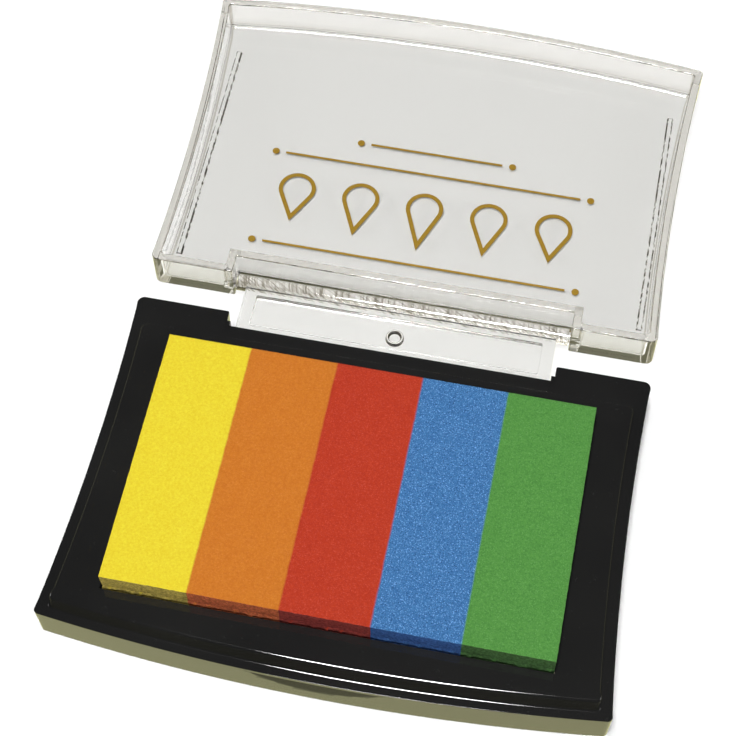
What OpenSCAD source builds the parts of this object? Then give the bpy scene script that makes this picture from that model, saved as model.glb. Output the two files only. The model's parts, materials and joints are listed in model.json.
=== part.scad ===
// Five-colour stamping ink pad: a black base, five foam strips and a clear lid on a double hinge.
// Frame: origin on the underside of the base below the middle of the foam, +X to the right,
// +Y to the hinge side, +Z up. The lid is drawn fully open, lying on its top behind the base.

/* [Case outline] */
// Width across the two front corners
case_w = 96.8; // [90:0.2:104]
// How much nearer the middle each back corner is than the front corner
back_taper = 1.4; // [0:0.1:3]
// Depth from the foam's middle back to the hinge edge
back_y = 33.8; // [33:0.1:36]
// Depth from the foam's middle forward to the front corners
corner_y = 29.5; // [28:0.1:32]
// How far the front edge bows out past its corners
front_bow = 3.0; // [0:0.1:5]
// How far each side curves in at its middle
waist = 1.15; // [0:0.05:2]
// Radius of the four corners seen from above
corner_r = 1.3; // [0.8:0.1:2.5]

/* [Base] */
// Height of the ledge that the closed lid's rim meets
ledge_z = 7.8; // [7:0.1:9]
// Height of the raised platform around the foam
platform_z = 9.6; // [9:0.1:11]
// Distance from the case outline in to the platform
platform_inset = 2.2; // [1.9:0.1:3]
// Back edge of the platform
platform_back_y = 27.6; // [25:0.1:28]
// Thickness of the base's outer wall
base_wall = 2.0; // [1.8:0.1:2.4]
// Underside of the base's top skin
ceiling_z = 6.7; // [6:0.1:7]
// Depth of the well that the foam sits in
well_depth = 1.3; // [0.8:0.1:1.8]
// Thickness of the bottom plate
bottom_t = 1.2; // [1:0.1:1.6]
// Diameter of the pegs that hold the bottom plate
peg_d = 2.4; // [2:0.1:3]

/* [Thumb scoop] */
// Width of the scoop in the middle of the front wall
scoop_w = 24; // [16:1:30]
// Height of the scoop at its middle
scoop_h = 3.4; // [2:0.1:4.5]
// Lip left above the scoop
scoop_lip = 0.8; // [0.5:0.1:1.5]
// Radius of the ball that forms the scoop
scoop_ball_r = 60; // [50:1:90]

/* [Foam] */
// Width of the five strips together
pad_w = 76.0; // [60:0.5:80]
// Depth of the foam
pad_d = 47.2; // [40:0.2:50]
// Height of the inked face above the table
pad_z = 14.1; // [13.6:0.1:14.2]
// Thickness of the barrier film between two strips
film_t = 0.15; // [0.1:0.01:0.3]
// Thickness of the adhesive sheet under the foam
adhesive_t = 0.2; // [0.1:0.05:0.3]

/* [Hinge] */
// Half width of the notch in the base's back edge
notch_half = 30.0; // [26:0.5:32]
// Depth of that notch
notch_depth = 3.0; // [2.8:0.1:3.2]
// Height of both hinge pins when the lid lies open
pivot_z = 2.35; // [2.3:0.01:2.4]
// Distance of each pin in from the back edge of its half of the case
pivot_inset = 1.55; // [1.5:0.01:1.6]
// Thickness of the link plate and of its base-side barrel
link_t = 2.4; // [2:0.1:2.4]
// Half width of the link plate
link_half = 29.1; // [25:0.1:29.2]
// Radius of the lid-side barrel
barrel_r = 1.55; // [1.3:0.05:1.55]
// Radius of the moulded pins
pin_r = 1.0; // [0.7:0.05:1.0]
// Radial clearance of a pin in its socket
pin_gap = 0.05; // [0.03:0.01:0.09]

/* [Lid] */
// Height of the lid
lid_h = 8.1; // [7.8:0.05:8.1]
// Thickness of the lid's walls
lid_wall = 1.5; // [1.2:0.1:1.6]
// Thickness of the lid's flat top
lid_plate = 1.5; // [1.2:0.1:1.5]
// Half width of the lid's hinge recess
recess_half = 31.5; // [31.5:0.1:33]
// Depth of that recess
recess_depth = 3.5; // [3.5:0.1:4]
// Total height of the closed case
closed_h = 16.0; // [15.8:0.1:16.4]

/* [Hidden] */
$fn = 96;
through = 1;              // how far a cutter runs past a face

half_front = case_w / 2;
half_back = half_front - back_taper;
side_steps = 14;
front_steps = 24;
corner_steps = 6;
front_corner_turn = 83;   // a front corner turns a little less than a right angle

// Open pose: the link lies flat and the lid lies on its top behind the base.
link_len = closed_h - 2 * pivot_z;
pivot_a = [0, back_y - pivot_inset, pivot_z];
pivot_b = [0, pivot_a.y + link_len, pivot_z];
lid_back_y = pivot_b.y - pivot_inset;
lid_mirror_y = back_y + lid_back_y;

// Base details
rebate = 1.0;
plate_gap = 0.05;
hinge_block_half = notch_half + 4.0;
hinge_block_t = 1.8;
notch_corner = [0.65, 1.0];
pin_len_base = 4.1;
socket_slack = 0.2;
post_d = 5.5;
post_places = [[-40, -22], [40, -22], [-40, 22], [40, 22], [-14, 0], [14, 0]];
peg_len = 3.5;
peg_slack = 0.5;
peg_fit = 0.02;
well_gap = 0.3;

// Foam details: x of the edges between strips
strip_x = [-38.0, -23.1, -7.65, 7.6, 22.55, 38.0];
strip_gap = 0.02;
film_drop = 0.4;
film_inset = 0.6;
foam_bottom_z = platform_z - well_depth + adhesive_t;

// Link details
panel_border = 2.3;
panel_depth = 0.9;
panel_edge_a = 1.9;
panel_edge_b = 2.9;
gate_r = 1.6;
gate_hole_r = 1.15;
gate_y = 4.6;
barrel_half = recess_half - 0.3;

// Lid details
rib_w = 0.9;
rib_h = 0.4;
rib_x = 43.7;
rib_start = 4.5;
rib_len = 49.5;

// Ornament: five drops between fine rules
foil_t = 0.06;
drop_pitch = 12.5;
drop_r = 3.6;
drop_tip = 9.6;
drop_line = 0.8;
drop_steps = 24;
drop_y = 67.0;
rule_w = 0.45;
rule_long = 58;
rule_short = 26;
dot_r = 0.7;

function lerp(a, b, t) = a + (b - a) * t;

// Half width of the outline at depth y, set in by inset
function side_x(y, inset) =
    let (t = (y + corner_y) / (back_y + corner_y))
    lerp(half_front, half_back, t) - waist * 4 * t * (1 - t) - inset;

// Front edge of the outline at x, set in by inset
function front_y(x, inset) = inset - corner_y - front_bow * (1 - pow(x / half_front, 2));

function arc(c, r, from, to) =
    [for (i = [0:corner_steps])
        let (a = lerp(from, to, i / corner_steps))
        c + r * [cos(a), sin(a)]];

// Closed outline of the case, set in by inset, with corners of radius r and its back edge at back
function outline(inset, r, back) =
    let (cx = half_front - inset - r,
         cy = front_y(cx, inset) + r,
         bx = side_x(back, inset) - r,
         by = back - r,
         turn = front_corner_turn,
         fx = cx + r * cos(-turn),
         side = [for (i = [1:side_steps - 1]) lerp(cy, by, i / side_steps)],
         front = [for (i = [1:front_steps - 1]) lerp(-fx, fx, i / front_steps)])
    concat(
        arc([cx, cy], r, -turn, 0),
        [for (y = side) [side_x(y, inset), y]],
        arc([bx, by], r, 0, 90),
        arc([-bx, by], r, 90, 180),
        [for (i = [len(side) - 1:-1:0]) [-side_x(side[i], inset), side[i]]],
        arc([-cx, cy], r, 180, 180 + turn),
        [for (x = front) [x, front_y(x, inset)]]);

module case_outline(inset = 0, r = corner_r, back = back_y)
    polygon(outline(inset, r, back));

// The lid's outline as it lies open: the base's outline turned over about the hinge
module lid_outline(inset = 0, r = corner_r)
    translate([0, lid_mirror_y])
    mirror([0, 1])
    case_outline(inset, r, back_y - inset);

module centred_block(x_half, y_from, y_to, z_from, z_to)
    translate([-x_half, y_from, z_from])
    cube([2 * x_half, y_to - y_from, z_to - z_from]);

module x_rod(r, x_from, x_to, at)
    translate([x_from, at.y, at.z])
    rotate([0, 90, 0])
    cylinder(r = r, h = x_to - x_from);

module both_sides() {
    children();
    mirror([1, 0, 0]) children();
}

module at_posts()
    for (p = post_places)
        translate([p.x, p.y, 0]) children();

// Region behind and beside the notch that stays solid
module hinge_block(grow = 0)
    translate([-hinge_block_half - grow, back_y - notch_depth - hinge_block_t - grow])
    square([2 * (hinge_block_half + grow), 2 * back_y]);

module notch()
    difference() {
        centred_block(notch_half, back_y - notch_depth, back_y + through, -through, platform_z);
        both_sides()
            translate([notch_half - notch_corner.x, back_y - notch_depth, -2 * through])
            cube([2 * notch_corner.x, notch_corner.y, platform_z + 4 * through]);
    }

// A shallow dish in the front wall with a curved lower edge and a straight lip above it
module thumb_scoop() {
    top = ledge_z - scoop_lip;
    edge_r = (pow(scoop_w / 2, 2) + pow(scoop_h, 2)) / (2 * scoop_h);
    back_off = sqrt(pow(scoop_ball_r, 2) - pow(edge_r, 2));
    intersection() {
        translate([0, front_y(0, 0) - back_off, top - scoop_h + edge_r])
            sphere(r = scoop_ball_r, $fn = 240);
        centred_block(scoop_w, front_y(0, 0) - through, front_y(0, 0) + 2 * base_wall,
                      top - scoop_h - through, top);
    }
}

module base_shell() color("#222222")
    difference() {
        union() {
            linear_extrude(ledge_z) case_outline();
            linear_extrude(platform_z) case_outline(platform_inset, corner_r, platform_back_y);
        }
        translate([0, 0, -through])
            linear_extrude(ceiling_z + through)
            difference() {
                case_outline(base_wall, corner_r, back_y - base_wall);
                hinge_block();
                for (p = post_places) translate(p) circle(d = post_d);
            }
        translate([0, 0, -through])
            linear_extrude(bottom_t + through)
            difference() {
                case_outline(rebate, corner_r, back_y - rebate);
                hinge_block();
            }
        at_posts()
            translate([0, 0, -through])
            cylinder(d = peg_d + 2 * peg_fit, h = bottom_t + peg_len + peg_slack + through);
        centred_block(pad_w / 2 + well_gap, -pad_d / 2 - well_gap, pad_d / 2 + well_gap,
                      platform_z - well_depth, platform_z + through);
        notch();
        both_sides()
            x_rod(pin_r + pin_gap, notch_half - through,
                  link_half + pin_len_base + socket_slack, pivot_a);
        thumb_scoop();
    }

// Flat plate that closes the underside and carries the pegs
module base_bottom() color("#2c2c2c") {
    linear_extrude(bottom_t)
        difference() {
            case_outline(rebate + plate_gap, corner_r, back_y - rebate - plate_gap);
            hinge_block(plate_gap);
        }
    at_posts() cylinder(d = peg_d, h = bottom_t + peg_len);
}

module pad_adhesive() color("#d9d2b8")
    centred_block(pad_w / 2, -pad_d / 2, pad_d / 2,
                  platform_z - well_depth, foam_bottom_z);

// One foam strip between the i-th and the next edge
module foam_strip(i) {
    side_gap = film_t / 2 + strip_gap;
    x_from = strip_x[i] + (i > 0 ? side_gap : 0);
    x_to = strip_x[i + 1] - (i < len(strip_x) - 2 ? side_gap : 0);
    translate([x_from, -pad_d / 2, foam_bottom_z])
        cube([x_to - x_from, pad_d, pad_z - foam_bottom_z]);
}

module foam_yellow() color("#ecdb3a") foam_strip(0);
module foam_orange() color("#cd7c2d") foam_strip(1);
module foam_red() color("#be3e28") foam_strip(2);
module foam_blue() color("#4b7bb4") foam_strip(3);
module foam_green() color("#589146") foam_strip(4);

// Film that keeps the ink of two strips apart; its edges stop short of the foam's outer faces
module ink_barrier(i) color("#c9ccd0")
    translate([strip_x[i] - film_t / 2, -pad_d / 2 + film_inset, foam_bottom_z])
    cube([film_t, pad_d - 2 * film_inset, pad_z - film_drop - foam_bottom_z]);

// Clear leaf with a barrel and two moulded pins at each end
module hinge_link() color("#dfe3dc", 0.6)
    union() {
        difference() {
            union() {
                centred_block(link_half, pivot_a.y, pivot_b.y,
                              pivot_z - link_t / 2, pivot_z + link_t / 2);
                x_rod(link_t / 2, -link_half, link_half, pivot_a);
                x_rod(barrel_r, -barrel_half, barrel_half, pivot_b);
            }
            centred_block(link_half - panel_border,
                          pivot_a.y + panel_edge_a, pivot_b.y - panel_edge_b,
                          pivot_z + link_t / 2 - panel_depth, pivot_z + link_t);
        }
        translate([0, pivot_a.y + gate_y, pivot_z + link_t / 2 - panel_depth])
            linear_extrude(panel_depth)
            difference() {
                circle(r = gate_r);
                circle(r = gate_hole_r);
            }
        x_rod(pin_r, -link_half - pin_len_base, link_half + pin_len_base, pivot_a);
        x_rod(pin_r, -recess_half - lid_wall + socket_slack,
              recess_half + lid_wall - socket_slack, pivot_b);
    }

// Clear lid, drawn open: its flat top is on the table and its rim is up
module lid_shell() color("#eceee8", 0.4)
    union() {
        difference() {
            linear_extrude(lid_h) lid_outline();
            translate([0, 0, lid_plate])
                linear_extrude(lid_h)
                difference() {
                    lid_outline(lid_wall);
                    translate([-recess_half - lid_wall, lid_back_y])
                        square([2 * (recess_half + lid_wall), recess_depth + lid_wall]);
                }
            centred_block(recess_half, lid_back_y - through, lid_back_y + recess_depth,
                          -through, lid_h + through);
            x_rod(pin_r + pin_gap, -recess_half - lid_wall - through,
                  recess_half + lid_wall + through, pivot_b);
        }
        both_sides()
            translate([rib_x - rib_w / 2, lid_back_y + rib_start, lid_plate])
            cube([rib_w, rib_len, rib_h]);
    }

// Outline of a drop with its tip towards +Y: a round end and two straight flanks tangent to it
function drop_outline(r, tip) =
    let (tangent = acos(r / tip))
    concat([[0, tip]],
           [for (i = [0:drop_steps])
               r * [cos(lerp(90 + tangent, 450 - tangent, i / drop_steps)),
                    sin(lerp(90 + tangent, 450 - tangent, i / drop_steps))]]);

// One drop drawn as a line
module drop(r, tip, line)
    difference() {
        polygon(drop_outline(r, tip));
        polygon(drop_outline(r - line, tip * (r - line) / r));
    }

// Rule with a round dot at each end
module rule(len, y) {
    translate([-len / 2, y - rule_w / 2]) square([len, rule_w]);
    for (s = [-1, 1]) translate([s * (len / 2 + 2), y]) circle(r = dot_r);
}

module lid_ornament() color("#b48c1e")
    translate([0, 0, lid_plate])
    linear_extrude(foil_t) {
        for (i = [-2:2])
            translate([i * drop_pitch, drop_y])
            rotate(180)
            drop(drop_r, drop_tip - abs(i), drop_line);
        rule(rule_long, drop_y + 8);
        rule(rule_short, drop_y + 13);
        rule(rule_long, drop_y - 13);
    }

base_shell();
base_bottom();
pad_adhesive();
foam_yellow();
foam_orange();
foam_red();
foam_blue();
foam_green();
ink_barrier(1);  // ink_barrier_1
ink_barrier(2);  // ink_barrier_2
ink_barrier(3);  // ink_barrier_3
ink_barrier(4);  // ink_barrier_4
hinge_link();
lid_shell();
lid_ornament();
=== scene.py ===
"""Five-colour ink pad: the looks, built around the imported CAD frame. Lengths are in millimetres here,
and every mesh is scaled to metres when it is made."""
import json
import math
from functools import reduce

import bmesh
import bpy
from mathutils import Matrix, Vector, noise


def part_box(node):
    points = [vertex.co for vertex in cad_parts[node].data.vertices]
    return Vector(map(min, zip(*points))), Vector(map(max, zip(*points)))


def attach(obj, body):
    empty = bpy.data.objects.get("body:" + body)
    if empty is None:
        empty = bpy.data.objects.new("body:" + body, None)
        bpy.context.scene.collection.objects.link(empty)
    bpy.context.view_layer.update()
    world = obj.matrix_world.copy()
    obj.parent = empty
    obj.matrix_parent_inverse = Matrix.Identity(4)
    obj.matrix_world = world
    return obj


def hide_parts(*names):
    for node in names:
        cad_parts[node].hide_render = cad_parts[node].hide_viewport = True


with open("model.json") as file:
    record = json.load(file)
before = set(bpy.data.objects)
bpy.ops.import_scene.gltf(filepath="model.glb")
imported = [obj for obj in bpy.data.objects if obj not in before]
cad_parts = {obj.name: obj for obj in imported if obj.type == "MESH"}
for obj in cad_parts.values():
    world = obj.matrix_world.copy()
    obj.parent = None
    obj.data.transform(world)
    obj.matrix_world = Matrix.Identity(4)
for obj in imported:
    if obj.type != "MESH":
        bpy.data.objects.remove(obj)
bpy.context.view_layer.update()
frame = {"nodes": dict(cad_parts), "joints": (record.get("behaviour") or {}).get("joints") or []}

MM = 0.001


def box_mm(node):
    """Lowest and highest corner of a CAD node, in millimetres."""
    low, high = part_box(node)
    return Vector(low) / MM, Vector(high) / MM


# ---------------------------------------------------------------- sizes

BASE_LOW, BASE_HIGH = box_mm("base_shell")
LID_LOW, LID_HIGH = box_mm("lid_shell")
PIVOTS = {j["name"]: Vector(j["pos_m"]) / MM for j in frame["joints"]}
PIVOT_A = PIVOTS["link_hinge"]
PIVOT_B = PIVOTS["lid_hinge"]

# The case outline, shared by the base and the lid
HALF_FRONT = BASE_HIGH.x
BACK_TAPER = 1.4
WAIST = 1.15
FRONT_BOW = 3.0
CORNER_R = 1.3
FRONT_CORNER = 0.65
BACK = BASE_HIGH.y
CORNER_Y = -BASE_LOW.y - FRONT_BOW
LID_MIRROR_Y = BACK + LID_LOW.y

# The base
LEDGE_Z = 7.8
PLATFORM_Z = BASE_HIGH.z
PLATFORM_INSET = 2.2
PLATFORM_BACK = 27.6
BASE_DRAFT = 0.1
LEDGE_ROUND = 0.04
BASE_WALL = 2.0
CEILING_Z = 6.7
REBATE_W = 1.0
REBATE_H = 1.2
# The step from the ledge up to the platform: inset of its foot, lean in degrees, round at foot and at top
FRONT_STEP = (1.37, 33, 0.4, 0.6)
SIDE_STEP = (2.05, 1, 0.15, 0.4)
NOTCH_HALF = 30.0
NOTCH_DEPTH = 3.0
NOTCH_BLOCK = (0.65, 1.0)
HINGE_BLOCK_HALF = NOTCH_HALF + 4.0
HINGE_BLOCK_T = 1.8
WELL_FLOOR = 8.3
WELL_GAP = 0.3

# The lid
LID_H = LID_HIGH.z
LID_WALL = 1.5
LID_PLATE = 1.5
RECESS_HALF = 31.5
RECESS_DEPTH = 3.5
RIB_X = 43.7
RIB_W = 0.9
RIB_H = 0.4
RIB_START = 4.5
RIB_LEN = 49.5

# The link
LINK_HALF = 29.1
LINK_T = 2.4
LINK_TOP = PIVOT_A.z + LINK_T / 2
PANEL_BORDER = 2.3
PANEL_EDGE_A = 1.9
PANEL_EDGE_B = 2.9
PANEL_DEPTH = 0.9
BARREL_R = 1.55
BARREL_HALF = RECESS_HALF - 0.3
PIN_R = 1.0
PIN_LEN_BASE = 4.1
SOCKET_R = 1.05
SOCKET_SLACK = 0.2
GATE_Y = PIVOT_A.y + 4.6
GATE_OUTER = 1.6
GATE_INNER = 1.15

# How far a cutter runs past a face
THROUGH = 1.0

# Points along an outline
CORNER_STEPS = 8
SIDE_STEPS = 40
FRONT_STEPS = 96
BACK_STEPS = 12
FLOOR_STEPS = 40
ROD_STEPS = 48

# Width of the narrow row of faces beside each rounding, which keeps the big faces shaded flat
SUPPORT = 0.06


# ---------------------------------------------------------------- small helpers

def lerp(a, b, t):
    """The value a share t of the way from a to b."""
    return a + (b - a) * t


def new_object(name, bm, body, material, smooth_angle=30):
    """Finishes a bmesh in millimetres as an object in metres that rides on a body."""
    bmesh.ops.scale(bm, vec=(MM, MM, MM), verts=bm.verts)
    bmesh.ops.recalc_face_normals(bm, faces=bm.faces)
    mesh = bpy.data.meshes.new(name)
    bm.to_mesh(mesh)
    bm.free()
    piece = bpy.data.objects.new(name, mesh)
    bpy.context.scene.collection.objects.link(piece)
    shade(piece, smooth_angle)
    mesh.materials.append(material)
    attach(piece, body)
    return piece


def shade(piece, smooth_angle):
    """Smooth shading that keeps every edge sharper than the angle."""
    mesh = piece.data
    mesh.polygons.foreach_set("use_smooth", [True] * len(mesh.polygons))
    mesh.set_sharp_from_angle(angle=math.radians(smooth_angle))


def side_x(y, inset):
    """Half width of the case at y: it tapers to the back and has a slight waist."""
    t = (y + CORNER_Y) / (BACK + CORNER_Y)
    return lerp(HALF_FRONT, HALF_FRONT - BACK_TAPER, t) - WAIST * 4 * t * (1 - t) - inset


def front_y(x, inset):
    """The bowed front edge of the case."""
    return inset - CORNER_Y - FRONT_BOW * (1 - (x / HALF_FRONT) ** 2)


def arc(cx, cy, r, start, end, steps):
    """Points on a round about (cx, cy), from one angle to another in degrees."""
    angles = [math.radians(lerp(start, end, i / steps)) for i in range(steps + 1)]
    return [(cx + r * math.cos(a), cy + r * math.sin(a)) for a in angles]


def right_half(inset, corner_r, back, notch, front):
    """Right half of a case outline, from the front corner round to the middle of the back edge.
    notch is (half width, floor y, block width, block depth), or None for a straight back edge. That one
    has as many points as a notched edge, nudged apart where they would coincide."""
    r = corner_r
    front_r = r * FRONT_CORNER
    front_turn = 83
    edge_r = 0.3
    nudge = 0.01
    cx = HALF_FRONT - inset - front_r
    cy = front_y(cx, front) + front_r
    bx = side_x(back, inset) - r
    by = back - r
    points = arc(cx, cy, front_r, -front_turn, 0, CORNER_STEPS)
    ys = [lerp(cy, by, i / SIDE_STEPS) for i in range(1, SIDE_STEPS)]
    points += [(side_x(y, inset), y) for y in ys]
    points += arc(bx, by, r, 0, 90, CORNER_STEPS)
    half, floor, block_w, block_d = notch or (NOTCH_HALF, 0, NOTCH_BLOCK[0], 0)
    steps = FLOOR_STEPS // 2
    across = [(lerp(bx, half + edge_r, i / BACK_STEPS), back) for i in range(1, BACK_STEPS)]
    across += [(half + edge_r, back),
               (half + edge_r * 0.29, back - edge_r * 0.29),
               (half, back - edge_r),
               (half, floor + block_d),
               (half - block_w, floor + block_d),
               (half - block_w, floor)]
    across += [((half - block_w) * (1 - i / steps), floor) for i in range(1, steps + 1)]
    if notch is None:
        across = [(x - nudge * i * (i < len(across) - steps), back) for i, (x, _) in enumerate(across)]
    return points + across


def case_loop(inset, corner_r=CORNER_R, back=BACK, notch=None, front=None):
    """Closed outline of the case as a list of (x, y), counter-clockwise. front is the front's own inset."""
    front = inset if front is None else front
    half = right_half(inset, corner_r, back, notch, front)
    fx = half[0][0]
    front_xs = [lerp(-fx, fx, i / FRONT_STEPS) for i in range(1, FRONT_STEPS)]
    return (half + [(-x, y) for x, y in reversed(half[:-1])]
            + [(x, front_y(x, front)) for x in front_xs])


def loft(bm, rows, close_first=True, close_last=True):
    """Skin through closed loops of equal length. rows is a list of (points, z)."""
    assert len({len(points) for points, _ in rows}) == 1
    rings = [[bm.verts.new((x, y, z)) for x, y in points] for points, z in rows]
    count = len(rings[0])
    for lower, upper in zip(rings, rings[1:]):
        for i in range(count):
            j = (i + 1) % count
            bm.faces.new((lower[i], lower[j], upper[j], upper[i]))
    if close_first:
        bm.faces.new(list(reversed(rings[0])))
    if close_last:
        bm.faces.new(rings[-1])
    return rings


def between(low, high, steps):
    """Even steps between two values, with one more close to either end, where flat shading starts."""
    return [low + SUPPORT] + [lerp(low, high, i / steps) for i in range(1, steps)] + [high - SUPPORT]


def quarter(r, steps, convex=True):
    """(across, up) of a quarter round of radius r, from (0, 0) to (r, r)."""
    out = []
    for i in range(steps + 1):
        a = math.pi / 2 * i / steps
        out.append((r * (1 - math.cos(a)), r * math.sin(a)) if convex
                   else (r * math.sin(a), r * (1 - math.cos(a))))
    return out


def rod_mesh(r, x_from, x_to, at, steps=ROD_STEPS):
    """A capped rod along X as a bmesh."""
    bm = bmesh.new()
    turn = Matrix.Rotation(math.pi / 2, 4, "Y")
    move = Matrix.Translation(((x_from + x_to) / 2, at.y, at.z))
    bmesh.ops.create_cone(bm, cap_ends=True, segments=steps, radius1=r, radius2=r,
                          depth=x_to - x_from, matrix=move @ turn)
    return bm


def box_bmesh(low, high):
    """A box between two corners as a bmesh."""
    bm = bmesh.new()
    size = Vector(high) - Vector(low)
    centre = (Vector(high) + Vector(low)) / 2
    bmesh.ops.create_cube(bm, size=1, matrix=Matrix.Translation(centre) @ Matrix.Diagonal((*size, 1)))
    return bm


def carve(bm, tool, operation="DIFFERENCE"):
    """bm with the tool's solid taken away or added, both in millimetres. Frees both, returns a new bmesh."""
    made = []
    for source in (bm, tool):
        bmesh.ops.recalc_face_normals(source, faces=source.faces)
        mesh = bpy.data.meshes.new("carve_part")
        source.to_mesh(mesh)
        source.free()
        made.append(bpy.data.objects.new("carve_part", mesh))
        bpy.context.scene.collection.objects.link(made[-1])
    body, cutter = made
    modifier = body.modifiers.new("carve", "BOOLEAN")
    modifier.operation = operation
    modifier.solver = "EXACT"
    modifier.object = cutter
    result = bmesh.new()
    result.from_object(body, bpy.context.evaluated_depsgraph_get())
    for made_object in made:
        mesh = made_object.data
        bpy.data.objects.remove(made_object)
        bpy.data.meshes.remove(mesh)
    return result


# ---------------------------------------------------------------- materials

class Graph:
    """A material's node tree with short calls for the nodes used here."""

    def __init__(self, name):
        self.material = bpy.data.materials.new(name)
        self.material.use_nodes = True
        self.tree = self.material.node_tree
        self.shader = self.tree.nodes["Principled BSDF"]
        self.output = self.tree.nodes["Material Output"]

    def node(self, kind, **settings):
        made = self.tree.nodes.new(kind)
        for key, value in settings.items():
            setattr(made, key, value)
        return made

    def link(self, source, target):
        self.tree.links.new(source, target)

    def put(self, target, value):
        """Links an output to the target socket, or sets it to a constant."""
        if isinstance(value, bpy.types.NodeSocket):
            self.link(value, target)
        else:
            target.default_value = value

    def position(self):
        return self.node("ShaderNodeTexCoord").outputs["Object"]

    def noise(self, scale, detail=3.0, rough=0.5, vector=None):
        made = self.node("ShaderNodeTexNoise")
        made.inputs["Scale"].default_value = scale
        made.inputs["Detail"].default_value = detail
        made.inputs["Roughness"].default_value = rough
        self.link(vector or self.position(), made.inputs["Vector"])
        return made.outputs["Fac"]

    def cells(self, scale):
        made = self.node("ShaderNodeTexVoronoi")
        made.inputs["Scale"].default_value = scale
        self.link(self.position(), made.inputs["Vector"])
        return made.outputs["Distance"]

    def remap(self, value, low, high, to_low, to_high):
        made = self.node("ShaderNodeMapRange", clamp=True)
        self.put(made.inputs["Value"], value)
        for key, number in (("From Min", low), ("From Max", high), ("To Min", to_low), ("To Max", to_high)):
            made.inputs[key].default_value = number
        return made.outputs["Result"]

    def band(self, value, centre, half, soft):
        """1 where the value is within half of the centre, down to 0 over the soft edge."""
        off = self.math("ABSOLUTE", self.math("SUBTRACT", value, centre))
        return self.remap(off, half, half + soft, 1.0, 0.0)

    def split(self, vector):
        made = self.node("ShaderNodeSeparateXYZ")
        self.link(vector, made.inputs[0])
        return made.outputs["X"], made.outputs["Y"], made.outputs["Z"]

    def axes(self):
        """The place on the object in millimetres, as three outputs."""
        scale = self.node("ShaderNodeVectorMath", operation="SCALE")
        self.link(self.position(), scale.inputs[0])
        scale.inputs["Scale"].default_value = 1 / MM
        return self.split(scale.outputs["Vector"])

    def flatness(self):
        """How far the face turns to each of the object's own axes, 0 to 1, as three outputs."""
        turned = self.node("ShaderNodeVectorTransform", vector_type="NORMAL",
                           convert_from="WORLD", convert_to="OBJECT")
        self.link(self.node("ShaderNodeNewGeometry").outputs["True Normal"], turned.inputs[0])
        size = self.node("ShaderNodeVectorMath", operation="ABSOLUTE")
        self.link(turned.outputs[0], size.inputs[0])
        return self.split(size.outputs["Vector"])

    def math(self, operation, a, b=0.0):
        made = self.node("ShaderNodeMath", operation=operation)
        self.put(made.inputs[0], a)
        self.put(made.inputs[1], b)
        return made.outputs[0]

    def times(self, *values):
        return reduce(lambda a, b: self.math("MULTIPLY", a, b), values)

    def most(self, *values):
        return reduce(lambda a, b: self.math("MAXIMUM", a, b), values)

    def mix(self, factor, a, b):
        made = self.node("ShaderNodeMix", data_type="RGBA")
        self.put(made.inputs["Factor"], factor)
        self.put(made.inputs[6], a)
        self.put(made.inputs[7], b)
        return made.outputs[2]

    def bump(self, height, strength, distance, normal=None):
        made = self.node("ShaderNodeBump")
        made.inputs["Strength"].default_value = strength
        made.inputs["Distance"].default_value = distance
        self.link(height, made.inputs["Height"])
        if normal:
            self.link(normal, made.inputs["Normal"])
        return made.outputs["Normal"]

    def set(self, **values):
        """Sets the shader's sockets; names have _ for a space."""
        for key, value in values.items():
            self.put(self.shader.inputs[key.replace("_", " ")], value)


def black_plastic(name, rough, grain, ior):
    """Moulded black plastic: a faint grain, dust, and a gloss that varies a little."""
    g = Graph(name)
    dust = g.remap(g.noise(900, 6, 0.7), 0.62, 0.8, 0.0, 1.0)
    cloud = g.noise(60, 4)
    base = g.mix(g.remap(cloud, 0.3, 0.7, 0.0, 1.0), (0.0095, 0.0095, 0.0095, 1), (0.013, 0.013, 0.0125, 1))
    g.set(Base_Color=g.mix(g.times(dust, 0.25), base, (0.06, 0.06, 0.055, 1)))
    g.set(Roughness=g.remap(cloud, 0.25, 0.75, rough, rough + 0.04))
    g.set(Normal=g.bump(g.noise(2500, 3), grain, 0.00002))
    g.set(IOR=ior)
    return g.material


def painted_dark_edges(g, top):
    """Painted shade on a clear moulding, standing in for the dark reflections and bent light at its edges:
    its upright corners, and its rounded edges near the height top.
    """
    across, along, up = g.flatness()
    corner = g.remap(g.times(across, along), 0.1, 0.35, 0.0, 0.75)
    rim = g.times(g.band(up, 0.55, 0.36, 0.04), g.band(g.axes()[2], top, 0.3, 0.1))
    uneven = g.remap(g.noise(240, 3), 0.35, 0.6, 0.65, 1.0)
    return g.times(g.most(corner, rim), uneven)


def rib_flanks(g, x, y, z):
    """Painted dark lines along the two long flanks of each rib, standing in for the light that the rib bends
    away, broken up into dashes.
    """
    off_rib = g.math("ABSOLUTE", g.math("SUBTRACT", g.math("ABSOLUTE", x), RIB_X))
    rib_middle = LID_LOW.y + LID_WALL + RIB_START + RIB_LEN / 2
    dashes = g.remap(g.noise(900, 1), 0.4, 0.5, 0.1, 1.0)
    return g.times(g.band(off_rib, RIB_W / 2, 0.12, 0.05), g.band(z, LID_PLATE + RIB_H / 2, 0.3, 0.05),
                   g.band(y, rib_middle, RIB_LEN / 2, 0.1), dashes)


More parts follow.
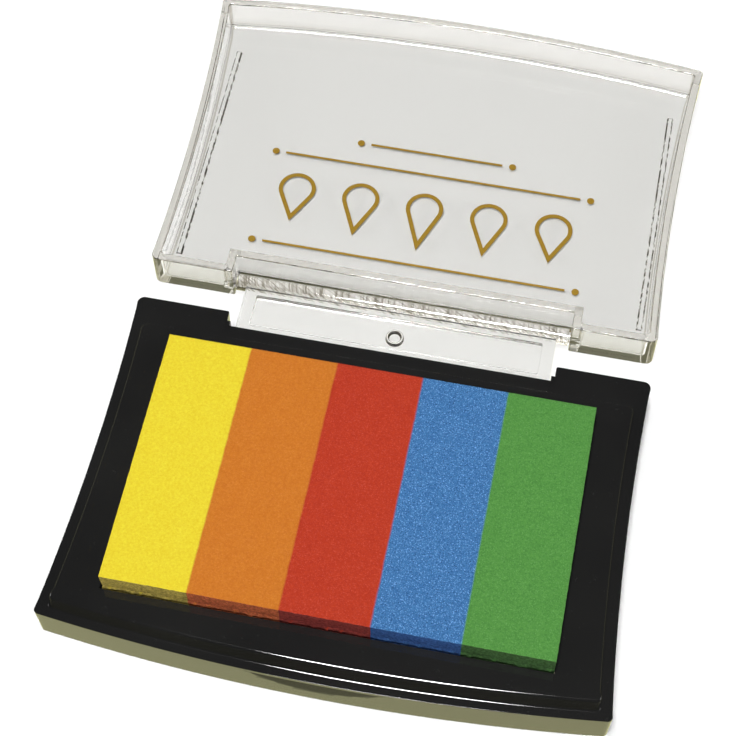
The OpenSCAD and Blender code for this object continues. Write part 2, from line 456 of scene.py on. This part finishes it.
def lid_painted_shade(g):
    """Where painted shade darkens the lid's clear plastic, standing in for the dark reflections, bent light
    and shadow that it would show: its edges, the flanks of the ribs, the foot of the walls, the far wall,
    which gets a faint painted shadow, and the narrow slot behind the hinge barrel, painted as deep shade that
    is darkest at the left."""
    x, y, z = g.axes()
    foot = g.times(g.band(z, LID_PLATE + 0.13, 0.06, 0.05), 0.6)
    # Painted deep shade in the narrow slot behind the hinge barrel
    slot = g.times(g.band(y, LID_LOW.y + RECESS_DEPTH, 0.12, 0.06), g.band(z, 1.42, 1.37, 0.1),
                   g.band(x, 0.0, RECESS_HALF - 0.5, 0.3), g.remap(x, -5.0, 20.0, 1.0, 0.6))
    upright = g.remap(g.flatness()[2], 0.1, 0.4, 1.0, 0.0)
    # Painted shadow, faint, on the upright faces of the far wall
    far = g.times(g.remap(y, LID_HIGH.y - 5.5, LID_HIGH.y - 4.5, 0.0, 0.2), upright)
    return g.most(rib_flanks(g, x, y, z), slot, foot, far, painted_dark_edges(g, LID_H))


def link_painted_shade(g):
    """Where painted shade darkens the link's clear plastic, standing in for the dark reflections and bent
    light that it would show: its edges, its gate ring and small painted streaks of bent light that slant
    across its barrel."""
    x, y, z = g.axes()
    off = g.math("SUBTRACT", y, GATE_Y)
    away = g.math("SQRT", g.math("ADD", g.times(x, x), g.times(off, off)))
    # The gate ring is drawn as painted dark rings
    ring = g.most(g.band(away, GATE_OUTER, 0.06, 0.06), g.band(away, GATE_INNER, 0.1, 0.08))
    ring = g.times(ring, g.band(z, LINK_TOP, 1.1, 0.1))
    # Painted streaks of bent light slanting across the barrel, in place of its refractions
    slant = g.node("ShaderNodeCombineXYZ")
    g.link(g.math("ADD", x, g.times(y, 1.6)), slant.inputs["X"])
    g.link(g.times(z, 0.6), slant.inputs["Z"])
    streaks = g.remap(g.noise(2.2, 3, 0.7, slant.outputs["Vector"]), 0.45, 0.6, 0.0, 0.85)
    painted_barrel_streaks = g.times(streaks, g.band(y, PIVOT_B.y - 0.2, 1.2, 0.1))
    return g.most(ring, painted_barrel_streaks, g.times(painted_dark_edges(g, LINK_TOP), 0.5))


def clear_plastic(name, shadow, painted_shade):
    """Clear polystyrene. Light passes it on its way to the floor, so it casts only a faint shadow, and a ray
    that is caught between its faces gets out after a few bounces. Its last argument maps the painted shade,
    which turns the colour khaki and then near black where dark reflections and bent light would be."""
    g = Graph(name)
    painted_dark = painted_shade(g)
    # Painted shade: the clear tint goes khaki, then near black, where the mask is strong
    tint = g.mix(painted_dark, (0.97, 0.972, 0.968, 1), (0.33, 0.27, 0.15, 1))
    g.set(Base_Color=g.mix(g.math("POWER", painted_dark, 3.0), tint, (0.010, 0.008, 0.005, 1)))
    g.set(Transmission_Weight=1.0, IOR=1.55)
    g.set(Roughness=g.remap(g.noise(140, 3), 0.3, 0.75, 0.0, 0.03))
    g.set(Normal=g.bump(g.noise(70, 2), 0.06, 0.0001))
    path = g.node("ShaderNodeLightPath")
    clear = g.node("ShaderNodeBsdfTransparent")
    clear.inputs["Color"].default_value = (shadow, shadow, shadow * 0.99, 1)
    mix = g.node("ShaderNodeMixShader")
    trapped = g.math("GREATER_THAN", path.outputs["Glossy Depth"], 2.5)
    straight = g.most(path.outputs["Is Shadow Ray"], path.outputs["Is Diffuse Ray"], trapped)
    g.link(straight, mix.inputs["Fac"])
    g.link(g.shader.outputs["BSDF"], mix.inputs[1])
    g.link(clear.outputs["BSDF"], mix.inputs[2])
    g.link(mix.outputs["Shader"], g.output.inputs["Surface"])
    depth = g.node("ShaderNodeVolumeAbsorption")
    depth.inputs["Color"].default_value = (0.84, 0.80, 0.72, 1)
    depth.inputs["Density"].default_value = 45.0
    g.link(depth.outputs["Volume"], g.output.inputs["Volume"])
    return g.material


def gold_foil():
    """Hot-stamped foil, slightly worn."""
    g = Graph("gold_foil")
    wear = g.remap(g.noise(1500, 5, 0.65), 0.35, 0.75, 0.0, 1.0)
    g.set(Base_Color=g.mix(wear, (0.50, 0.31, 0.035, 1), (0.36, 0.20, 0.012, 1)))
    g.set(Metallic=0.55, Roughness=g.remap(wear, 0.0, 1.0, 0.3, 0.45))
    g.set(Normal=g.bump(g.noise(4000, 2), 0.15, 0.00002))
    return g.material


def inked_foam(name, ink, deep, cut, speck, left=None, right=None, span=(0, 1)):
    """Fine-celled foam soaked with ink, paler where a cell wall catches the light. Its cut sides, the faces
    that don't point up, take a darker, coarser colour of their own. The inks left and right, of the strips on
    either side, creep in a very little way from the two ends of the span."""
    g = Graph(name)
    grain = g.noise(2600, 4, 0.75)
    soft = g.noise(350, 3, 0.6)
    colour = g.mix(g.remap(grain, 0.34, 0.68, 0.0, 1.0), deep, ink)
    colour = g.mix(g.remap(soft, 0.35, 0.7, 0.0, 0.22), colour, deep)
    pale = [min(1.0, channel * 1.7 + 0.12) for channel in ink[:3]] + [1]
    dark = [channel * 0.5 for channel in deep[:3]] + [1]
    colour = g.mix(g.remap(g.noise(4600, 2, 0.7), 0.53, 0.7, 0.0, speck), colour, pale)
    colour = g.mix(g.remap(g.noise(3700, 2, 0.7), 0.47, 0.3, 0.0, speck), colour, dark)
    x = g.math("ADD", g.axes()[0], g.times(g.math("SUBTRACT", soft, 0.5), 0.3))
    for neighbour, edge, way in ((left, span[0], 1), (right, span[1], -1)):
        if neighbour:
            near = g.remap(x, edge, edge + way * 0.16, 0.45, 0.0)
            colour = g.mix(near, colour, neighbour)
    upward = g.split(g.node("ShaderNodeNewGeometry").outputs["True Normal"])[2]
    side = g.remap(upward, 0.5, 0.8, 1.0, 0.0)
    coarse = g.noise(2000, 4, 0.75)
    cut_low = [channel * 0.62 for channel in cut[:3]] + [1]
    cut_high = [channel * 1.3 for channel in cut[:3]] + [1]
    colour = g.mix(side, colour, g.mix(g.remap(coarse, 0.38, 0.62, 0.0, 1.0), cut_low, cut_high))
    g.set(Base_Color=colour)
    g.set(Roughness=g.remap(soft, 0.3, 0.7, 0.78, 0.95))
    g.set(Specular_IOR_Level=0.06)
    normal = g.bump(g.cells(2200), 0.35, 0.00012)
    normal = g.bump(grain, 0.5, 0.0001, normal)
    g.set(Normal=g.bump(g.times(side, coarse), 0.5, 0.0003, normal))
    return g.material


# ---------------------------------------------------------------- base

def base_notch(grow):
    """The hinge notch in the back of the base, for case_loop, widened by grow."""
    return (NOTCH_HALF + grow, BACK - NOTCH_DEPTH - grow, *NOTCH_BLOCK)


def base_rows():
    """Cross-section of the base from its inner ceiling, round the rim and up to the platform's top."""
    inner_notch = (HINGE_BLOCK_HALF, BACK - NOTCH_DEPTH - HINGE_BLOCK_T, 0.3, 0.3)
    hollow = case_loop(BASE_WALL, CORNER_R, BACK - BASE_WALL, inner_notch)
    rebate = case_loop(REBATE_W, CORNER_R, BACK - REBATE_W, inner_notch)
    rows = [(hollow, CEILING_Z), (hollow, REBATE_H), (rebate, REBATE_H), (rebate, 0.0)]
    rim = 0.15
    for across, up in quarter(rim, 3, convex=False):
        inset = BASE_DRAFT + rim - across
        rows.append((case_loop(inset, CORNER_R, BACK - inset, base_notch(rim - across)), up))
    top = LEDGE_Z - LEDGE_ROUND
    for z in between(rim, top, 8) + [top]:
        inset = BASE_DRAFT * (top - z) / (top - rim)
        rows.append((case_loop(inset, CORNER_R, BACK - inset, base_notch(0)), z))
    for across, up in quarter(LEDGE_ROUND, 4)[1:] + [(LEDGE_ROUND + SUPPORT, LEDGE_ROUND)]:
        rows.append((case_loop(across, CORNER_R, BACK - across, base_notch(across)), top + up))
    foot_levels = [LEDGE_Z + up for _, up in quarter(FRONT_STEP[2], 6, convex=False)]
    top_levels = [PLATFORM_Z - FRONT_STEP[3] + up for _, up in quarter(FRONT_STEP[3], 10)]
    rows.append(platform_row(LEDGE_Z, -SUPPORT))
    rows += [platform_row(z) for z in foot_levels + top_levels]
    rows.append(platform_row(PLATFORM_Z, SUPPORT))
    return rows


def platform_row(z, further=0.0):
    """The platform's outline at height z, and that height."""
    side = step_inset(z, *SIDE_STEP) + further
    front = step_inset(z, *FRONT_STEP) + further
    return case_loop(side, CORNER_R, PLATFORM_BACK - (side - PLATFORM_INSET), front=front), z


def step_inset(z, foot, lean, foot_r, top_r):
    """Inset of the platform's wall at height z: a hollow round of foot_r at its foot, a straight wall that
    leans back by so many degrees, and a round of top_r at the top."""
    turn = math.radians(90 - lean)
    foot_h = foot_r * (1 - math.cos(turn))
    top_h = top_r * (1 - math.cos(turn))
    rise = PLATFORM_Z - LEDGE_Z - foot_h - top_h
    up = z - LEDGE_Z
    if up < foot_h:
        return foot + math.sqrt(foot_r ** 2 - (foot_r - up) ** 2)
    straight = foot + foot_r * math.sin(turn)
    if up < foot_h + rise:
        return straight + (up - foot_h) / math.tan(turn)
    end = straight + rise / math.tan(turn) + top_r * math.sin(turn)
    return end - math.sqrt(top_r ** 2 - (top_r - (PLATFORM_Z - z)) ** 2)


def build_base(material):
    """The black moulding, with its well, pin sockets and thumb scoop cut out."""
    bm = bmesh.new()
    loft(bm, base_rows())
    pad_low, pad_high = box_mm("pad_adhesive")
    bm = carve(bm, box_bmesh((pad_low.x - WELL_GAP, pad_low.y - WELL_GAP, WELL_FLOOR),
                             (pad_high.x + WELL_GAP, pad_high.y + WELL_GAP, PLATFORM_Z + THROUGH)))
    for side in (-1, 1):
        ends = sorted((side * (NOTCH_HALF - THROUGH / 2), side * (LINK_HALF + PIN_LEN_BASE + SOCKET_SLACK)))
        bm = carve(bm, rod_mesh(SOCKET_R, *ends, PIVOT_A))
    bm = carve(bm, scoop_tool())
    piece = new_object("base_moulding", bm, "base", material)
    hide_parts("base_shell")
    return piece


def scoop_tool():
    """The solid that cuts the thumb scoop: its back is part of a ball, its top is flat below the lip."""
    half_w = 12.0
    height = 3.4
    lip = 0.8
    ball_r = 60.0
    edge_r = (half_w ** 2 + height ** 2) / (2 * height)
    back_off = math.sqrt(ball_r ** 2 - edge_r ** 2)
    top = LEDGE_Z - lip
    centre_y = front_y(0, 0) - back_off
    centre_z = top - height + edge_r
    columns = 96
    levels = 16
    bm = bmesh.new()
    sheets = []
    for ball in (True, False):
        sheet = []
        for k in range(levels + 1):
            z = lerp(top - height - 0.6, top, k / levels)
            xs = [lerp(-half_w - THROUGH, half_w + THROUGH, i / columns) for i in range(columns + 1)]
            depth = [math.sqrt(ball_r ** 2 - x * x - (z - centre_z) ** 2) for x in xs]
            sheet.append([bm.verts.new((x, centre_y + d if ball else front_y(0, 0) - 3, z))
                          for x, d in zip(xs, depth)])
        sheets.append(sheet)
        for k in range(levels):
            for i in range(columns):
                bm.faces.new((sheet[k][i], sheet[k][i + 1], sheet[k + 1][i + 1], sheet[k + 1][i]))
    far, near = sheets
    rim = ([(0, i) for i in range(columns)] + [(k, columns) for k in range(levels)]
           + [(levels, i) for i in range(columns, 0, -1)] + [(k, 0) for k in range(levels, 0, -1)])
    for (ka, ia), (kb, ib) in zip(rim, rim[1:] + rim[:1]):
        bm.faces.new((far[ka][ia], far[kb][ib], near[kb][ib], near[ka][ia]))
    return bm


# ---------------------------------------------------------------- foam

FOAM = ("yellow", "orange", "red", "blue", "green")
FOAM_CELL = (0.4, 0.6, 0.4)
# Colour of the inked face, of its darker grain and of the cut sides, and how much it is speckled
INK = {"yellow": (0.80, 0.69, 0.042, 1), "orange": (0.60, 0.20, 0.023, 1), "red": (0.49, 0.047, 0.016, 1),
       "blue": (0.058, 0.197, 0.433, 1), "green": (0.10, 0.30, 0.06, 1)}
DEEP = {"yellow": (0.70, 0.52, 0.02, 1), "orange": (0.50, 0.14, 0.015, 1), "red": (0.38, 0.03, 0.013, 1),
        "blue": (0.030, 0.118, 0.30, 1), "green": (0.06, 0.205, 0.04, 1)}
CUT = {"yellow": (0.52, 0.405, 0.093, 1), "orange": (0.56, 0.137, 0.055, 1), "red": (0.285, 0.047, 0.04, 1),
       "blue": (0.048, 0.124, 0.36, 1), "green": (0.071, 0.16, 0.051, 1)}
SPECK = {"yellow": 0.1, "orange": 0.12, "red": 0.22, "blue": 1.0, "green": 0.25}


def build_foam(index):
    """One strip: a soft-edged block with a slightly uneven skin and ragged cut edges."""
    colour = FOAM[index]
    low, high = box_mm("foam_" + colour)
    lefts = [box_mm("foam_" + c)[0].x for c in FOAM]
    rights = [box_mm("foam_" + c)[1].x for c in FOAM]
    last = len(FOAM) - 1
    seam = 0.01
    left = low.x if index == 0 else (rights[index - 1] + low.x) / 2 + seam
    right = high.x if index == last else (high.x + lefts[index + 1]) / 2 - seam
    nx = round((right - left) / FOAM_CELL[0])
    ny = round((high.y - low.y) / FOAM_CELL[1])
    nz = round((high.z - low.z) / FOAM_CELL[2])
    bm = bmesh.new()
    grid = {}

    def vert(i, j, k):
        key = (i, j, k)
        if key not in grid:
            grid[key] = bm.verts.new((lerp(left, right, i / nx), lerp(low.y, high.y, j / ny),
                                      lerp(low.z, high.z, k / nz)))
        return grid[key]

    for i in range(nx):
        for j in range(ny):
            for k in (0, nz):
                bm.faces.new((vert(i, j, k), vert(i + 1, j, k), vert(i + 1, j + 1, k), vert(i, j + 1, k)))
    for i in range(nx):
        for k in range(nz):
            for j in (0, ny):
                bm.faces.new((vert(i, j, k), vert(i + 1, j, k), vert(i + 1, j, k + 1), vert(i, j, k + 1)))
    for j in range(ny):
        for k in range(nz):
            for i in (0, nx):
                bm.faces.new((vert(i, j, k), vert(i, j + 1, k), vert(i, j + 1, k + 1), vert(i, j, k + 1)))
    roughen(bm, low, high, index)
    neighbours = [INK[FOAM[n]] if 0 <= n < len(FOAM) else None for n in (index - 1, index + 1)]
    material = inked_foam("inked_foam_" + colour, INK[colour], DEEP[colour], CUT[colour], SPECK[colour],
                          *neighbours, span=(left, right))
    piece = new_object("foam_strip_" + colour, bm, "base", material, 50)
    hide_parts("foam_" + colour)
    return piece


def roughen(bm, low, high, index):
    """Uneven skin: a little sink along the outer top edges and noise on every outer face. The front face
    hangs over a little at the foot, and the first strip's left face leans in."""
    top_round = 0.35
    inside = 9.0
    near = 0.01
    is_first = index == 0
    is_last = index == len(FOAM) - 1
    for v in bm.verts:
        x, y, z = v.co
        where = Vector((x * 0.9, y * 0.9 + index * 31.0, z * 1.7))
        bumpy = noise.noise(where) * 0.05
        fine = noise.noise(where * 3.1) * 0.035
        edge = min(y - low.y, high.y - y,
                   x - low.x if is_first else inside, high.x - x if is_last else inside)
        if z > high.z - near:
            v.co.z -= max(0.0, top_round - edge) * 0.35 + 0.03 - min(bumpy + fine, 0.03)
        if y < low.y + near:
            v.co.y += 0.05 + bumpy * 0.8 + fine
            if PLATFORM_Z < z < PLATFORM_Z + 0.9:
                v.co.y -= 0.1 + 0.45 * max(0.0, noise.noise(Vector((x * 1.3, z * 0.8, 3.0))) + 0.1)
        if y > high.y - near:
            v.co.y -= 0.05 + bumpy * 0.8 + fine
        if is_first and x < low.x + near:
            v.co.x += 0.05 + bumpy * 0.8 + fine + (high.z - z) * 0.06 * (z > PLATFORM_Z)
        if is_last and x > high.x - near:
            v.co.x -= 0.05 + bumpy * 0.8 + fine


# ---------------------------------------------------------------- lid

def lid_loop(inset, corner_r=CORNER_R, notch_grow=0.0, back_inset=None):
    """The lid's outline as it lies open, which is the case outline turned over about the hinge."""
    notch = (RECESS_HALF + notch_grow, BACK - RECESS_DEPTH - notch_grow, 0.02, 0.02)
    back = BACK - (inset if back_inset is None else back_inset)
    return [(x, LID_MIRROR_Y - y) for x, y in case_loop(inset, corner_r, back, notch)]


def lid_rib(x):
    """One of the two fine ribs on the inside of the plate, with a rounded top."""
    start = LID_LOW.y + LID_WALL + RIB_START
    rib = box_bmesh((x - RIB_W / 2, start, LID_PLATE - 0.3),
                    (x + RIB_W / 2, start + RIB_LEN, LID_PLATE + RIB_H))
    upper = [e for e in rib.edges if all(v.co.z > LID_PLATE for v in e.verts)]
    bmesh.ops.bevel(rib, geom=upper, offset=0.12, segments=3, profile=0.5, affect="EDGES")
    return rib


def build_lid(material):
    """The clear lid as it lies open: over its outer face, round the rim and down to the plate inside."""
    bm = bmesh.new()
    edge = 0.25
    rim = 0.2
    foot = 0.8
    inner_r = 0.9
    rows = []
    for across, up in [(-SUPPORT, 0.0)] + quarter(edge, 7, convex=False):
        rows.append((lid_loop(edge - across, CORNER_R, (edge - across) * 0.3), up))
    rows += [(lid_loop(0), z) for z in between(edge, LID_H - rim, 6) + [LID_H - rim]]
    for across, up in quarter(rim, 4)[1:] + [(rim + SUPPORT, rim)]:
        rows.append((lid_loop(across, CORNER_R, across), LID_H - rim + up))
    for across, up in [(rim + SUPPORT, rim)] + quarter(rim, 4)[::-1]:
        rows.append((lid_loop(LID_WALL - across, inner_r, LID_WALL - across), LID_H - rim + up))
    for z in between(LID_PLATE + foot, LID_H - rim, 6)[::-1] + [LID_PLATE + foot]:
        rows.append((lid_loop(LID_WALL, inner_r, LID_WALL), z))
    for across, up in quarter(foot, 8)[1:] + [(foot + SUPPORT, foot)]:
        rows.append((lid_loop(LID_WALL + across, inner_r, LID_WALL + across), LID_PLATE + foot - up))
    loft(bm, rows)
    for side in (-1, 1):
        ends = sorted((side * (RECESS_HALF - THROUGH / 2), side * (RECESS_HALF + LID_WALL + THROUGH / 2)))
        bm = carve(bm, rod_mesh(SOCKET_R, *ends, PIVOT_B))
        bm = carve(bm, lid_rib(side * RIB_X), "UNION")
    piece = new_object("lid_clear", bm, "lid", material)
    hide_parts("lid_shell")
    return piece


# ---------------------------------------------------------------- link

def link_profile():
    """Side outline of the link: a flat leaf with a round barrel at each end."""
    half_t = LINK_T / 2
    bite = math.degrees(math.asin(half_t / BARREL_R))
    return (arc(PIVOT_A.y, PIVOT_A.z, half_t, 90, 270, 16)
            + arc(PIVOT_B.y, PIVOT_B.z, BARREL_R, -180 + bite, 180 - bite, 32))


def prism_x(points, x_from, x_to):
    """An outline in (y, z) extruded along X."""
    bm = bmesh.new()
    rings = [[bm.verts.new((x, y, z)) for y, z in points] for x in (x_from, x_to)]
    count = len(points)
    for i in range(count):
        j = (i + 1) % count
        bm.faces.new((rings[0][i], rings[0][j], rings[1][j], rings[1][i]))
    bm.faces.new(list(reversed(rings[0])))
    bm.faces.new(rings[1])
    return bm


def build_link(material):
    """The clear leaf with its barrel, sunk panel, pins and gate ring."""
    bm = prism_x(link_profile(), -LINK_HALF, LINK_HALF)
    bm = carve(bm, rod_mesh(BARREL_R, -BARREL_HALF, BARREL_HALF, PIVOT_B, 64), "UNION")
    panel_half = LINK_HALF - PANEL_BORDER
    panel = box_bmesh((-panel_half, PIVOT_A.y + PANEL_EDGE_A, LINK_TOP - PANEL_DEPTH),
                      (panel_half, PIVOT_B.y - PANEL_EDGE_B, LINK_TOP + THROUGH))
    bmesh.ops.bevel(panel, geom=list(panel.edges), offset=0.35, segments=3, profile=0.5, affect="EDGES")
    bm = carve(bm, panel)
    reach_a = LINK_HALF + PIN_LEN_BASE
    reach_b = RECESS_HALF + LID_WALL - SOCKET_SLACK
    for pivot, reach in ((PIVOT_A, reach_a), (PIVOT_B, reach_b)):
        bm = carve(bm, rod_mesh(PIN_R, -reach, reach, pivot, 40), "UNION")
    bm = carve(bm, gate_ring(LINK_TOP - PANEL_DEPTH - 0.1, LINK_TOP - 0.15), "UNION")
    piece = new_object("hinge_leaf", bm, "link", material)
    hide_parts("hinge_link")
    return piece


def gate_ring(z_from, z_to):
    """The round gate boss in the middle of the link's panel."""
    bm = bmesh.new()
    steps = 40
    edge = 0.12
    profile = [(GATE_OUTER, z_from), (GATE_OUTER, z_to - edge), (GATE_OUTER - edge, z_to),
               (GATE_INNER + edge, z_to), (GATE_INNER, z_to - edge), (GATE_INNER, z_from)]
    rings = []
    for i in range(steps):
        a = 2 * math.pi * i / steps
        rings.append([bm.verts.new((r * math.cos(a), GATE_Y + r * math.sin(a), z)) for r, z in profile])
    for i in range(steps):
        for k in range(len(profile)):
            m = (k + 1) % len(profile)
            j = (i + 1) % steps
            bm.faces.new((rings[i][k], rings[j][k], rings[j][m], rings[i][m]))
    return bm


# ---------------------------------------------------------------- stage

def floor_white():
    """White paper, lit past white, that stays white out to the horizon. In gloss it shows a painted
    reflection instead: a warm glow near the object that fades to the dim room further out."""
    g = Graph("floor_white")
    g.set(Base_Color=(0.97, 0.97, 0.97, 1), Roughness=0.9, Specular_IOR_Level=0.1)
    # Painted reflection: a warm glow that only glossy rays see
    glow = g.node("ShaderNodeEmission")
    glow.inputs["Color"].default_value = (1.0, 0.98, 0.54, 1)
    x, y, _ = g.axes()
    beside = g.math("SUBTRACT", g.math("ABSOLUTE", x), HALF_FRONT)
    before = g.math("SUBTRACT", -CORNER_Y - FRONT_BOW, y)
    beyond = g.math("SUBTRACT", y, LID_HIGH.y)
    away = g.most(beside, before, beyond)
    g.link(g.remap(away, 8, 30, 1.08, 0.12), glow.inputs["Strength"])
    paper = g.node("ShaderNodeMixShader")
    white = g.node("ShaderNodeEmission")
    g.link(g.remap(away, 250, 700, 0.0, 1.0), paper.inputs["Fac"])
    g.link(g.shader.outputs["BSDF"], paper.inputs[1])
    g.link(white.outputs["Emission"], paper.inputs[2])
    mix = g.node("ShaderNodeMixShader")
    path = g.node("ShaderNodeLightPath")
    mirrored = g.math("SUBTRACT", path.outputs["Is Glossy Ray"], path.outputs["Is Transmission Ray"])
    first = g.math("LESS_THAN", path.outputs["Glossy Depth"], 1.5)
    g.link(g.times(mirrored, first), mix.inputs["Fac"])
    g.link(paper.outputs["Shader"], mix.inputs[1])
    g.link(glow.outputs["Emission"], mix.inputs[2])
    g.link(mix.outputs["Shader"], g.output.inputs["Surface"])
    g.material.cycles.emission_sampling = "NONE"
    return g.material


def add_floor():
    """A plain floor, a hair below the object."""
    bm = bmesh.new()
    bmesh.ops.create_grid(bm, x_segments=2, y_segments=2, size=3.0)
    mesh = bpy.data.meshes.new("floor")
    bm.to_mesh(mesh)
    bm.free()
    floor = bpy.data.objects.new("floor", mesh)
    floor.location.z = -0.00002
    bpy.context.scene.collection.objects.link(floor)
    mesh.materials.append(floor_white())


MIDDLE = Vector((0, 0.03, 0))


def add_area(name, place, size, power, size_y=None):
    """A white area light that faces the middle of the object. Metres and watts."""
    light = bpy.data.lights.new(name, "AREA")
    light.shape = "RECTANGLE"
    light.size = size
    light.size_y = size_y or size
    light.energy = power
    lamp = bpy.data.objects.new(name, light)
    lamp.location = place
    direction = MIDDLE - Vector(place)
    lamp.rotation_euler = direction.to_track_quat("-Z", "Y").to_euler()
    bpy.context.scene.collection.objects.link(lamp)
    return lamp


def add_lights():
    """A softbox overhead, a little to the front, and two weak ones at the sides of a dim room. The room is
    white to the camera, and bright where clear plastic bends the view away from the object. The card only
    lights glossy edges."""
    world = bpy.data.worlds.new("studio")
    bpy.context.scene.world = world
    world.use_nodes = True
    nodes, links = world.node_tree.nodes, world.node_tree.links
    nodes["Background"].inputs["Color"].default_value = (1, 1, 1, 1)
    split = nodes.new("ShaderNodeSeparateXYZ")
    links.new(nodes.new("ShaderNodeTexCoord").outputs["Generated"], split.inputs[0])
    low = nodes.new("ShaderNodeMapRange")
    links.new(split.outputs["Z"], low.inputs["Value"])
    for key, value in (("From Min", 0.3), ("From Max", 0.75), ("To Min", 0.9), ("To Max", 0.2)):
        low.inputs[key].default_value = value
    bright = nodes.new("ShaderNodeMapRange")
    bright.inputs["To Min"].default_value = 0.08
    links.new(low.outputs["Result"], bright.inputs["To Max"])
    path = nodes.new("ShaderNodeLightPath")
    links.new(path.outputs["Is Transmission Ray"], bright.inputs["Value"])
    seen = nodes.new("ShaderNodeMath")
    seen.operation = "MAXIMUM"
    links.new(bright.outputs["Result"], seen.inputs[0])
    links.new(path.outputs["Is Camera Ray"], seen.inputs[1])
    links.new(seen.outputs[0], nodes["Background"].inputs["Strength"])
    add_area("overhead", (-0.05, -0.22, 1.3), 0.24, 15.5, size_y=0.4)
    card = add_area("card", (-0.05, -0.22, 1.29), 0.22, 24, size_y=0.4)
    card.visible_diffuse = False
    card.visible_transmission = False
    add_area("left", (-1.3, 0.15, 0.7), 0.6, 5)
    add_area("right", (1.3, 0.05, 0.7), 0.6, 5)


def add_camera():
    """The photograph's view: about 60 degrees above the horizon, turned a little to the front right. The
    picture's own axes and the eye, in metres, come from solving the camera on the case's straight edges."""
    camera = bpy.data.cameras.new("camera")
    camera.lens = 89.15
    camera.sensor_width = 36.0
    camera.clip_start = 0.01
    camera.clip_end = 20
    right = Vector((0.98034, 0.19722, -0.00575))
    down = Vector((0.1687, -0.85297, -0.49395))
    forward = Vector((-0.10231, 0.48327, -0.86947))
    eye = Vector((0.03030, -0.13019, 0.29066))
    rig = bpy.data.objects.new("camera", camera)
    turn = Matrix((right, -down, -forward)).transposed().to_4x4()
    rig.matrix_world = Matrix.Translation(eye) @ turn
    bpy.context.scene.collection.objects.link(rig)
    bpy.context.scene.camera = rig


def dress_cad_nodes():
    """Materials for the CAD nodes that stay."""
    plain = {"base_bottom": black_plastic("bottom_black", 0.42, 0.6, 1.5),
             "lid_ornament": gold_foil()}
    film = Graph("barrier_film")
    film.set(Base_Color=film.mix(film.noise(800), (0.55, 0.57, 0.6, 1), (0.66, 0.68, 0.7, 1)), Roughness=0.35)
    glue = Graph("adhesive_sheet")
    glue.set(Base_Color=glue.mix(glue.noise(500), (0.66, 0.6, 0.44, 1), (0.74, 0.68, 0.52, 1)), Roughness=0.7)
    plain["pad_adhesive"] = glue.material
    for i in range(1, 5):
        plain["ink_barrier_%d" % i] = film.material
    for name, material in plain.items():
        mesh = frame["nodes"][name].data
        mesh.materials.clear()
        mesh.materials.append(material)


add_camera()
add_floor()
add_lights()
build_base(black_plastic("case_black", 0.045, 0.08, 1.5))
for strip in range(len(FOAM)):
    build_foam(strip)
build_lid(clear_plastic("lid_polystyrene", 0.87, lid_painted_shade))
build_link(clear_plastic("link_polystyrene", 0.925, link_painted_shade))
dress_cad_nodes()
bpy.context.scene.view_settings.view_transform = "Standard"
